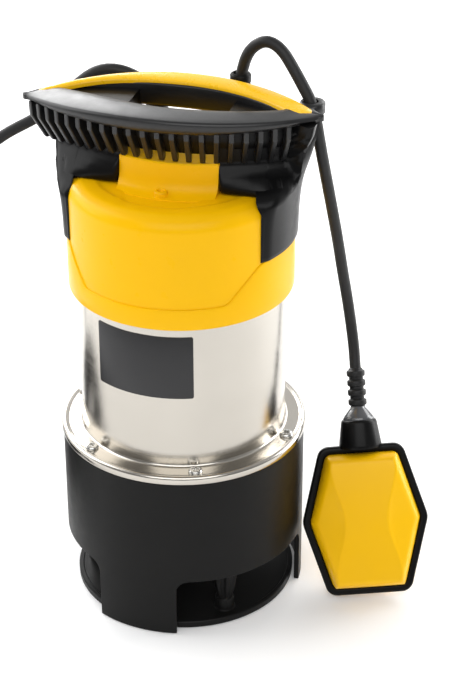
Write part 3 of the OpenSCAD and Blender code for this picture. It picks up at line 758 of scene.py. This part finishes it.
def cap():
    """The yellow cap with its skirt, the neck under the handle and two gland bosses."""
    def top_dish(p):
        d = hypot(p[0] - BOSS[0], p[1] - BOSS[1])
        drop = DISH_DEPTH * smooth((DISH_R - d) / 2.2) * smooth((p[2] - 291) / 2)
        return (p[0], p[1], p[2] - drop)
    body = Build()
    side = [(67.0, 229.5), (70.1, 229.5)] + [(CAP_R, z) for z in (230, 240, 252, 264, 275)]
    edge = rounded([(CAP_R, 275), (CAP_R, 286.3), (67.6, 291.4), (61.5, 293.9), (54.0, 294.1)],
                   [0, 9, 7, 9, 0], 5, closed=False)[1:]
    side += edge + [(52.6, 293.9), (51.4, 293.4), (50.0, CAP_TOP)]
    side += [(r, CAP_TOP) for r in range(48, 0, -2)]
    side += [(0.01, CAP_TOP), (0.01, 291), (66.8, 282)]
    body.lathe(side, 192, at=top_dish)
    # the raised skirt
    rows = []
    for k in range(288):
        a = 1.25 * k
        top = skirt_top(SKIRT_R * sin(radians(a)))
        rows.append([around(r, a, z) for r, z in
                     ((67, 221.0), (70.6, 221.0), (71.1, 221.3), (SKIRT_R, 221.9), (SKIRT_R, 228),
                      (SKIRT_R, top - 1.1), (71.15, top - 0.5), (70.8, top - 0.15), (70.2, top),
                      (67, top))])
    body.grid(rows, wrap_rows=True, wrap_cols=True)
    # the neck
    rings = []
    for z, flare in ((291, 10.5), (292.8, 10.0), (293.2, 8.4), (293.7, 6.9), (294.4, 5.4),
                     (295.4, 4.0), (296.8, 2.7), (298.6, 1.6), (301, 0.8), (304, 0.25), (308, 0),
                     (311.6, 0), (312.4, -0.8)):
        front = []
        for k in range(-12, 13):
            x = (NECK_HALF if flare >= 0 else NECK_HALF - 0.8) * k / 12
            front.append((x, 44.5 - sqrt(75 ** 2 - x * x) - flare))
        rings.append([(x, y, z) for x, y in front] + [(x, -y, z) for x, y in front[::-1]])
    body.loft(rings)
    for x in (POWER_GLAND_X, FLOAT_GLAND_X):
        body.lathe([(0.01, 290), (11.4, 290), (11.2, 293.2), (10.6, 293.9), (10.5, 296.6),
                    (9.9, 297.4), (0.01, 297.5)], 48, at=moved(x, GLAND_Y))
    body.put("yellow_cap", YELLOW, replaces="cap_body", sharp=42)
    Build().lathe([(0.01, 292.0), (4.5, 292.0), (4.4, 292.5), (4.15, 295.6), (3.9, 296.3),
                   (3.3, 296.7), (2.3, 296.75), (2.0, 296.5), (1.9, 295.4), (0.01, 295.3)], 48,
                  at=moved(*BOSS)).put("vent_screw", YELLOW, replaces="vent_plug", sharp=50)


cap()

# ---------- handle ----------
# The ring's outline is two arcs about points RING_C before and behind its middle line.
RING_X, RING_C, RING_R, RING_TOP, RING_HALF = -3.0, 96.2, 135.2, 344.0, 95
HOLE_DEPTH, HOLE_LEFT, HOLE_RIGHT, HOLE_BEND = 20, 78.0, 70.0, 9.0
GRIP_C, GRIP_IN_R, GRIP_OUT_R = 104.0, 125.2, 133.0


def frown(x):
    """The ring's ends are lower than its middle, the left one most."""
    return (-6.2 if x < 0 else -3.2) * (x / 90) ** 2


def drawn(p):
    """The ring's left end comes forward a little and its right end is a little shorter."""
    x, y, z = p
    t = min(abs(x - RING_X) / RING_HALF, 1.0)
    if x < RING_X:
        return (x, y - 5.5 * t * t, z)
    return (x - 2.6 * t ** 4, y - 0.8 * t * t, z)


def eye_edge(x):
    """Half depth of the ring's outside at x."""
    x, tip = abs(x), RING_HALF - 3
    if x >= RING_HALF:
        return 0.0
    full = sqrt(RING_R ** 2 - min(x, tip) ** 2) - RING_C
    return full if x <= tip else full * sqrt(max(1 - ((x - tip) / 3) ** 2, 0))


def hole_edge(x):
    """Half depth of the hand hole at x; it runs further to the left."""
    half = HOLE_LEFT if x < 0 else HOLE_RIGHT
    if abs(x) >= half:
        return 0.0
    r = (half ** 2 + HOLE_DEPTH ** 2) / (2 * HOLE_DEPTH)
    return max(sqrt(r * r - x * x) - (r - HOLE_DEPTH), 0.0)


def hole_bend(x):
    """How far the hand hole's left part bends back from the ring's middle line."""
    room = max(eye_edge(x) - hole_edge(x) - 3.5, 0.0)
    return min(HOLE_BEND * smooth(-x / 70), room)


def stations():
    """Where the ring's sections stand along it: closer at its tips and the hole's ends."""
    tip = [round(-RING_HALF + 3 * (1 - cos(radians(10 * k))), 4) for k in range(10)]
    hole_ends = {-HOLE_LEFT, 1.5 - HOLE_LEFT, HOLE_RIGHT, HOLE_RIGHT - 1.5, HOLE_RIGHT - 4}
    inner = sorted({-90 + 2.5 * k for k in range(73)} | hole_ends)
    return tip + inner + [-x for x in tip[::-1]]


def rim():
    """The ring round the hand hole: a front and a back half, each from tip to tip."""
    half = Build()
    for s in (-1, 1):
        rings = []
        for x in stations():
            o, i = eye_edge(x), hole_edge(x) + s * hole_bend(x)
            middle = 1 - (x / RING_HALF) ** 2
            if s < 0:                         # the broad front band
                o += 3.5 * middle
            t, w = RING_TOP + frown(x), max(o - i, 0.05)
            f = min(2.2, 0.45 * w)
            g = min(1.2, 0.2 * w) if hole_edge(x) > 0.3 else 0.0
            deep = lerp(3.2, 6.8, middle)
            if s < 0:
                deep += 2.2 * middle
            else:                             # the grip bar behind the hand hole
                deep += 11 * smooth((80 - abs(x)) / 16)
            low = t - deep
            top = t - (2.2 * smooth((86 - abs(x)) / 8) if s > 0 else 0)
            ring = [(o - f * (1 - cos(radians(u))),
                     top - f * (1 - sin(radians(u)))) for u in (0, 22, 45, 67, 90)]
            ring += [(lerp(i + g, o - f, v), top + 0.35 * sin(pi * v))
                     for v in (0.75, 0.5, 0.25)]
            ring += [(i + g * (1 - sin(radians(u))),
                      top - g * (1 - cos(radians(u)))) for u in (0, 45, 90)]
            ring += [(i, low + min(2.5, 0.25 * w)), (i + min(2.5, 0.25 * w), low),
                     (o - min(3.2, 0.3 * w), low), (o - 0.4, low + min(2.4, 0.4 * w))]
            rings.append([drawn((x + RING_X, s * y, z)) for y, z in ring])
        half.loft(rings)
    return half


def front_arc(r, a, z):
    """A point r from the centre of the ring's front arc, turned a to the right."""
    return Vector((RING_X + r * sin(a), RING_C - r * cos(a), z + frown(r * sin(a))))


def front_wall():
    """The curved wall that the ribs stand on."""
    outline = ((121.6, 317.6), (119.2, 317.6), (122.0, 323.2), (124.4, 329), (125.4, 338.5),
               (128.2, 338.5), (127.4, 329), (124.8, 323.2))
    turns = [radians(-40 + 80 * k / 48) for k in range(49)]
    rows = [[drawn(front_arc(r, a, z)) for r, z in outline] for a in turns]
    # painted shade: the wall between the ribs wears the darker copy of the black plastic
    Build().loft(rows).put("handle_wall", SHADED_BLACK, sharp=46)


RIBS, RIB_PITCH, RIB_HALF = 21, 3.82, 1.7      # pitch in degrees; the row starts at the left


def ribs():
    """The row of upright ribs under the ring's front."""
    build = Build()
    shape = rounded([(128.2, 339.6), (134.4, 339.6), (134.0, 330.5), (126.0, 315.2),
                     (124.8, 312.8), (121.6, 312.8), (120.6, 315.6), (121.7, 320.6),
                     (127.2, 330)], [0, 0, 3, 2, 1.8, 1.8, 2, 4, 3], 4)
    for k in range(RIBS):
        a = radians((k - 11) * RIB_PITCH)
        side = Vector((cos(a), sin(a), 0))
        build.loft([[drawn(front_arc(r, a, z) + side * w) for r, z in shape]
                    for w in (-RIB_HALF, RIB_HALF)])
    # painted highlight: the ribs wear the lighter copy of the black plastic
    build.put("handle_ribs", LIT_BLACK, bevel=0.85, bevel_angle=50)


# Tables of (height, value): a leg's outside from the axis and its half width; the ribs'
# backs from the centre of the ring's front arc.
LEG_OUT = [(256.6, 73.0), (270, 73.4), (284, 74.4), (297, 76.6), (309, 80.6), (320, 85.6),
           (330, 89.8), (338, 91.4)]
LEG_HEIGHTS = [256.6, 257.4, 260, 266, 272, 278, 284, 288, 291.5, 295, 299, 303, 307, 311, 315,
               319, 323, 327, 331, 334, 336]
LEG_HALF_WIDTH = [(287, 36.5), (292, 35.8), (299, 32.5), (309, 26.2), (322, 19.0), (331, 13.2),
                  (338, 8.6)]
LEG_ROUND, WEB_IN, WEB_HALF = 4.2, 31.3, 27
RIB_BACK = [(290, 141.0), (299, 132.0), (306, 125.5), (311, 122.2), (322, 124.6), (330, 127.0),
            (338, 128.4)]


def leg_inner(z):
    """How far from the axis a leg's inside is."""
    return table([(288, 70.6), (295, 66.5), (300, 60)], z)


def eye_cut(y):
    """How far the ring's outline lies inside its tip, at y from its middle line."""
    return RING_HALF - sqrt(max(RING_R ** 2 - (abs(y) + RING_C) ** 2, 0))


def behind_ribs(p, front=True):
    """Moves a point behind the ribs, towards the middle of the ring's front arc."""
    x, y, z = p
    centre = RING_C if front else -RING_C
    d = hypot(x - RING_X, y - centre)
    limit = table(RIB_BACK, z)
    if front and x > 0:               # the right leg's edge comes forward beside the last rib
        limit += 1.6 * max(0, 304 - z)
        limit += 24 * smooth((degrees(atan2(x - RING_X, centre - y)) - 35.5) / 4.5)
    if d <= limit or z < 290:
        return p
    return (RING_X + (x - RING_X) * limit / d, centre + (y - centre) * limit / d, z)


def leg(build, s):
    """One leg, from the skirt up to the ring's tip on side s."""
    rings = []
    for z in LEG_HEIGHTS:
        r = spline_table(LEG_OUT, z) - (0.9 if z < 257 else 0)
        r += 3.6 * smooth((z - 300) / 38) if s < 0 else -4.4 * smooth((z - 306) / 30)
        half = spline_table(LEG_HALF_WIDTH, z)
        inner, blend, outer = leg_inner(z), smooth((z - 299) / 38), []
        for k in range(29):
            y = -cos(pi * k / 28) * half
            past = max(LEG_ROUND - (half - abs(y)), 0)
            drop = LEG_ROUND - sqrt(max(LEG_ROUND ** 2 - past ** 2, 0))
            drop = min(drop, 0.62 * max(r - inner, 0.5) + 0.4)
            x = lerp(sqrt(r * r - y * y), r - eye_cut(y), blend)
            outer.append(behind_ribs((s * (x - drop), y, z)))
        inside = []
        for x, y, _ in outer[::-4]:
            d = sqrt(max(inner ** 2 - y * y, 25))
            inside.append((s * min(d, abs(x) - 0.5), y, z))
        rings.append(outer + inside)
    build.loft(rings)


def web(build, s):
    """The web between a leg and the neck, on side s."""
    rings = []
    for z in (294.6, 296, 300, 304, 307, 309, 311, 313, 318, 324, 330, 337):
        r = spline_table(LEG_OUT, z) - 4.5
        inset = 0.8 if z < 295 else 0
        near = rounded([(50, WEB_HALF), (WEB_IN, WEB_HALF), (WEB_IN, -WEB_HALF), (50, -WEB_HALF)],
                       3.2, 5, closed=False)
        line = [(x + (inset if x < 45 else 0), y) for x, y in near]
        line += [(lerp(50, 66, k / 5), -WEB_HALF) for k in range(1, 6)]
        line += [(min(sqrt(r * r - y * y), RING_HALF), y) for y in
                 (24 * cos(pi * k / 12) for k in range(12, -1, -1))]
        line += [(lerp(66, 50, k / 5), WEB_HALF) for k in range(5)]
        rings.append([behind_ribs((s * x, y * (1 - inset / WEB_HALF), z), y < 0)
                      for x, y in line])
    build.loft(rings)


def legs():
    build = Build()
    for part_of in (leg, web):
        for s in (1, -1):
            part_of(build, s)
    # painted shade: the legs and webs wear the darker copy of the black plastic
    build.put("handle_legs", SHADED_BLACK, sharp=75)


HOOK_AT, HOOK_LOW, HOOK_HIGH, HOOK_R = (75.6, 29.3), 329.0, 336.2, 7.9
HOOK_HOLE_AT, HOOK_HOLE_MIDDLE = (75.5, 29.4), 332.9
HOLE_LEAN, HOLE_TURN = radians(27), radians(163)


def hook(build):
    """The eye behind the handle that the float's cord runs through, and its arm."""
    n, rows = 40, []
    for z, in_hole, grow in ((HOOK_LOW, True, 4.9), (HOOK_LOW, False, 7.3),
                             (329.6, False, HOOK_R), (335.6, False, HOOK_R),
                             (HOOK_HIGH, False, 7.3), (HOOK_HIGH, True, 4.9),
                             (335.7, True, 4.5), (329.5, True, 4.5)):
        row = []
        for k in range(n):
            a = 2 * pi * k / n
            u, v, at = grow * cos(a), grow * sin(a), HOOK_AT
            if in_hole:
                u = u / cos(HOLE_LEAN) + (z - HOOK_HOLE_MIDDLE) * tan(HOLE_LEAN)
                at = HOOK_HOLE_AT
            x, y = spun(u, v, HOLE_TURN)
            row.append((at[0] + x, at[1] + y, z))
        rows.append(row)
    build.grid(rows, wrap_rows=True, wrap_cols=True)
    arm = rounded_box(72.8, 78.8, 6, 22.6, 1.0)
    build.loft([[(x, y, z) for x, y in arm] for z in (329.3, 335.9)])


def inlay():
    """The yellow strip on the grip bar, its inner edge along the hand hole."""
    build, rows, n = Build(), [], 72
    for k in range(n + 1):
        u = -1 + 2 * k / n
        x_in, x_out = 81.5 * u, 91.8 * u
        y_in = -GRIP_C + sqrt(GRIP_IN_R ** 2 - x_in ** 2) + hole_bend(x_in)
        y_out = sqrt(max(GRIP_OUT_R ** 2 - x_out ** 2, 0)) - RING_C
        end = smooth((1 - abs(u)) / 0.06)
        row = []
        for t, h in ((0.0, -3.0), (0.0, -0.9), (0.03, -0.45), (0.09, 0.0), (0.25, 0.55),
                     (0.45, 0.95), (0.65, 0.95), (0.82, 0.6), (0.93, 0.1), (0.975, -0.4),
                     (1.0, -0.95), (1.0, -3.0)):
            x, y = lerp(x_in, x_out, t), lerp(y_in, y_out, t)
            rise = h if h <= -3 else lerp(min(h, -0.8), h, end)
            row.append(drawn((x + RING_X, y, RING_TOP + frown(x) + rise)))
        rows.append(row)
    build.loft(rows)
    build.put("grip_inlay", INLAY_YELLOW, replaces="handle_inlay", sharp=60)


def handle():
    body = rim()
    hook(body)
    # painted highlight: the ring wears the lighter copy of the black plastic
    body.put("handle_ring", LIT_BLACK, replaces="handle_frame", sharp=46)
    front_wall()
    legs()
    ribs()
    inlay()


handle()


# ---------- glands ----------
def gland(name, x, top, replaced):
    """A hexagon nut, a ringed sleeve and a collar; a tall one has three rings."""
    b = Build()
    hexagon = [(9.4 * cos(a), 9.4 * sin(a)) for a in (radians(60 * k) for k in range(6))]
    b.loft([[(x + px * g, GLAND_Y + py * g, z) for px, py in rounded(hexagon, 0.8, 3)]
            for z, g in ((297.6, 0.95), (298.2, 1), (303.9, 1), (304.6, 0.95))])
    body = [(4.3, 292), (5.9, 292), (5.9, 298), (5.9, 304.4), (8.3, 304.4), (8.4, 305.2)]
    rings = 3 if top > 330 else 1
    span = (top - 6 - 306) / rings
    for k in range(rings):
        z, r = 306 + span * k, lerp(8.2, 6.6, k / rings)
        body += [(r, z), (r - 0.3, z + span - 2.0), (r - 1.0, z + span - 1.6),
                 (r - 1.0, z + span - 0.6)]
    body += [(6.1, top - 6), (6.6, top - 5.6), (6.6, top - 1.2), (6.2, top - 0.6),
             (5.4, top - 0.5), (5.2, top), (4.6, top), (4.3, top - 1.5)]
    b.lathe(body, 48, at=moved(x, GLAND_Y))
    b.put(name, BLACK, replaces=replaced, sharp=36)


gland("power_cord_gland", POWER_GLAND_X, 322, "power_gland")
gland("float_cord_gland", FLOAT_GLAND_X, 343.5, "float_gland")

# ---------- float ----------
FLOAT_TOP, FLOAT_MID = 100.0, 50.0
HEX = [(-27.5, 0.0), (27.5, 0.0), (42.0, FLOAT_MID), (27.5, FLOAT_TOP), (-27.5, FLOAT_TOP),
       (-42.0, FLOAT_MID)]
HEX_ROUND, SIDE_STEPS = (8.0, 8.0, 11.0, 8.0, 8.0, 11.0), 22
SHELL_INSET, SHELL_ROUND = 4.9, 5.2


def inset_hex(g):
    """The corners of the float's outline, g further in."""
    out = []
    for i in range(6):
        p, q, r = Vector(HEX[i - 1]), Vector(HEX[i]), Vector(HEX[(i + 1) % 6])
        a, b = (Vector((-e[1], e[0])).normalized() for e in (q - p, r - q))
        out.append(q + (a + b) * (g / (1 + a.dot(b))))
    return out


def hex_ring(g):
    """The rounded outline with the same number of points at every inset."""
    radii = [max(r - 0.6 * g, 1.5) for r in HEX_ROUND]
    line = rounded([tuple(c) for c in inset_hex(g)], radii, 6)
    out = []
    for i in range(6):
        arc, after = line[7 * i:7 * i + 7], line[(7 * i + 7) % len(line)]
        out += arc + [(lerp(arc[-1][0], after[0], k / SIDE_STEPS),
                       lerp(arc[-1][1], after[1], k / SIDE_STEPS)) for k in range(1, SIDE_STEPS)]
    return out


def float_rim():
    """The black band round the float."""
    front = [(0.0, 2.0), (0.35, 2.9), (1.2, 3.4), (2.0, 3.5), (3.6, 3.5), (4.4, 3.3), (4.9, 2.7),
             (5.0, 2.0)]
    section = front + [(g, -y) for g, y in front[::-1]]
    rows = [[float_to_row((x, -y, z)) for x, z in hex_ring(g)] for g, y in section]
    Build().grid(rows, wrap_rows=True, wrap_cols=True).put(
        "float_band", SHADED_BLACK, "float", replaces="float_rim", sharp=60)


def panel_depth(x, z):
    """How far the shell stands out, before its edge is rounded off."""
    w = spline_table([(4, 23.4), (22, 21.2), (50, 14.6), (78, 20.6), (96, 24)], z)
    d = 16.0 + 0.7 * cos(min(abs(x) / 18, 1) * pi / 2) - 0.0011 * (z - FLOAT_MID) ** 2
    over = abs(x) - w
    if over > -0.9:
        d -= 0.40 * max(over, 0) + 0.5 * smooth((over + 0.9) / 1.8)
    return d


def edge_distance(x, z, corners):
    """How far inside the outline a point is."""
    gaps = []
    for p, q in zip(corners, corners[1:] + corners[:1]):
        t = (q - p).normalized()
        gaps.append((Vector((x, z)) - p).dot(Vector((-t[1], t[0]))))
    return min(gaps)


def float_shells():
    """The two yellow halves: flat hexagon panels with rounded edges."""
    corners, outline = inset_hex(SHELL_INSET), hex_ring(SHELL_INSET)

    def row(points, side):
        out = []
        for x, z in points:
            inside = min(max(edge_distance(x, z, corners), 0) / SHELL_ROUND, 1)
            out.append((x, side * panel_depth(x, z) * sqrt(1 - (1 - inside) ** 2), z))
        return out
    for name, side, replaced in (("float_front", -1, "float_shell_front"),
                                 ("float_back", 1, "float_shell_back")):
        rows, ring = [[(x, 0.0, z) for x, z in outline]], outline
        for d in (0.4, 0.9, 1.5, 2.2, 3.0, 3.9, 4.9, 6.0, 7.4, 9.2):
            scales = [1 - d / hypot(x, z - FLOAT_MID) for x, z in outline]
            ring = [(x * t, lerp(FLOAT_MID, z, t)) for (x, z), t in zip(outline, scales)]
            rows.append(row(ring, side))
        for f in [1 - k / 26 for k in range(1, 26)] + [0.001]:
            rows.append(row([(x * f, lerp(FLOAT_MID, z, f)) for x, z in ring], side))
        Build().grid([[float_to_row(p) for p in points] for points in rows],
                     wrap_cols=True).put(name, FLOAT_YELLOW, "float", replaces=replaced, sharp=60)


def float_collar():
    """The sleeve and cone where the cord goes in, and the ringed boot on the cord."""
    h = FLOAT_TOP
    Build().lathe([(3.8, h - 1.5), (13.9, h - 1.5), (14.2, h - 0.4), (14.15, h + 1),
                   (12.0, h + 15.2), (11.6, h + 16.6), (10.9, h + 17.4), (3.8, h + 17.6)], 72,
                  at=float_to_row).put("float_sleeve", SHADED_BLACK, "float",
                                       replaces="float_collar", sharp=50)
    Build().lathe([(3.8, h + 17.3), (10.4, h + 17.3), (10.6, h + 17.9), (9.4, h + 19.9),
                   (6.4, h + 23.6), (5.2, h + 24.9), (4.8, h + 26), (3.8, h + 26)], 72,
                  at=float_to_row).put("float_cone", CONE_GREY, "float", sharp=50)
    boot = [(3.8, h + 25.6), (4.9, h + 25.6)]
    for k in range(4):
        z = h + 26.9 + 6.4 * k
        boot += [(4.7, z - 0.5), (5.3, z - 0.1), (5.9, z + 0.3), (6.1, z + 0.9), (6.1, z + 3.1),
                 (5.9, z + 3.6), (5.3, z + 4.0), (4.7, z + 4.3)]
    boot += [(4.5, h + 51.2), (3.8, h + 51.6)]
    Build().lathe(boot, 48, at=float_to_row).put(
        "float_boot", SOFT_RUBBER, "float", replaces="float_relief", sharp=60)


float_rim()
float_shells()
float_collar()


# ---------- floor and light ----------
FLOOR_HALF, FLOOR_Z = 2.4, -0.0006         # metres
LIGHTS = {                                 # place, aim and size in metres, watts
    "key": ((-1.1, 0.0, 0.9), (0, 0, 0.2), (1.0, 1.2), 11),
    "back left": ((-1.15, 1.3, 0.9), (0, 0, 0.3), (1.3, 0.7), 21),
    "back": ((0.65, 1.4, 0.9), (0, 0, 0.3), (1.3, 0.7), 11),
    "right": ((1.15, 0.75, 0.5), (0, 0, 0.25), (0.6, 1.0), 11),
    "front": ((0.35, -1.3, 1.35), (0, 0, 0.2), (1.9, 1.2), 17)}
ROOM_FRONT = (0.28, -0.95, 0.12)           # the room is darkest this way
ROOM_LEVELS = ((0.0, 0.95), (0.45, 0.5), (0.9, 0.22))


def floor():
    """A pale floor that glows a little, so that it stays near white."""
    paint, h = Nodes("floor_paint"), FLOOR_HALF
    paint.link(paint.ramp(paint.noise(3.0, 2.0), [(0.3, (0.93,) * 3), (0.7, (0.95,) * 3)]),
               paint.shader["Base Color"])
    for socket, value in (("Roughness", 0.65), ("Specular IOR Level", 0.3),
                          ("Emission Color", (1, 1, 1, 1)), ("Emission Strength", 0.12)):
        paint.shader[socket].default_value = value
    mesh = bpy.data.meshes.new("floor")
    mesh.from_pydata([(x, y, FLOOR_Z) for x, y in ((-h, -h), (h, -h), (h, h), (-h, h))], [],
                     [(0, 1, 2, 3)])
    mesh.materials.append(paint.material)
    add_object("floor", mesh)


def area_light(name, place, aim, size, power):
    data = bpy.data.lights.new(name, "AREA")
    data.shape = "RECTANGLE"
    data.size, data.size_y = size
    data.energy = power
    o = add_object(name, data)
    o.location = place
    o.rotation_euler = (Vector(aim) - Vector(place)).to_track_quat("-Z", "Y").to_euler()


def room():
    """White where the camera sees it; for everything else brightest behind the pump."""
    world = bpy.data.worlds.new("studio")
    SCENE.world = world
    world.use_nodes = True
    nodes, links = world.node_tree.nodes, world.node_tree.links
    nodes.clear()
    kinds = ("OutputWorld", "Background", "Background", "MixShader", "LightPath", "TexCoord",
             "VectorMath", "MapRange", "ValToRGB")
    out, paper, walls, mix, path, place, dot, half, ramp = (
        nodes.new("ShaderNode" + kind) for kind in kinds)
    paper.inputs["Color"].default_value = (1, 1, 1, 1)
    dot.operation = "DOT_PRODUCT"
    dot.inputs[1].default_value = ROOM_FRONT
    half.inputs["From Min"].default_value = -1.0
    ramp.color_ramp.elements.new(0.5)
    for element, (at, level) in zip(ramp.color_ramp.elements, ROOM_LEVELS):
        element.position, element.color = at, (level, level, level, 1)
    for a, b in ((place.outputs["Generated"], dot.inputs[0]),
                 (dot.outputs["Value"], half.inputs["Value"]),
                 (half.outputs["Result"], ramp.inputs["Fac"]),
                 (ramp.outputs["Color"], walls.inputs["Color"]),
                 (path.outputs["Is Camera Ray"], mix.inputs["Fac"]),
                 (walls.outputs["Background"], mix.inputs[1]),
                 (paper.outputs["Background"], mix.inputs[2]),
                 (mix.outputs["Shader"], out.inputs["Surface"])):
        links.new(a, b)


floor()
room()
for lamp, values in LIGHTS.items():
    area_light(lamp, *values)
SCENE.view_settings.view_transform = "Standard"
SCENE.view_settings.look = "None"
